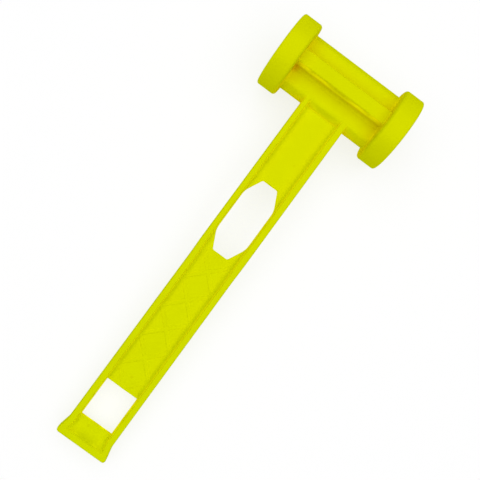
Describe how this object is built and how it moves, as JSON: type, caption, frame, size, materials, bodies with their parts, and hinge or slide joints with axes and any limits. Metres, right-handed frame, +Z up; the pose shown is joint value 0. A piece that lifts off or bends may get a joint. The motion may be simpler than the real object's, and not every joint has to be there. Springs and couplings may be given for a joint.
{
  "type": "camping mallet",
  "caption": "Moulded plastic tent-peg mallet: ribbed spool head with round striking discs on an I-section handle with an eye, a slot and a flared butt.",
  "frame": {"origin": "on the surface the mallet lies on, under the middle of its bounding box", "axes": "+Z up from the surface, +X along the head axis, +Y up the handle towards the head, which rises about 4 degrees because the discs are wider than the butt"},
  "size_m": [0.0942, 0.2998, 0.0524],
  "materials": {
    "moulded_plastic": "satin lime-yellow, as moulded"
  },
  "bodies": {
    "root": {"left_striking_disc": "moulded_plastic", "right_striking_disc": "moulded_plastic", "head_crossbar": "moulded_plastic", "front_head_rib": "moulded_plastic", "rear_head_rib": "moulded_plastic", "left_flange": "moulded_plastic", "right_flange": "moulded_plastic", "neck_web": "moulded_plastic", "grip_web": "moulded_plastic", "butt_web": "moulded_plastic", "butt_wall": "moulded_plastic", "front_grip_ridges": "moulded_plastic", "rear_grip_ridges": "moulded_plastic"}
  },
  "joints": []
}
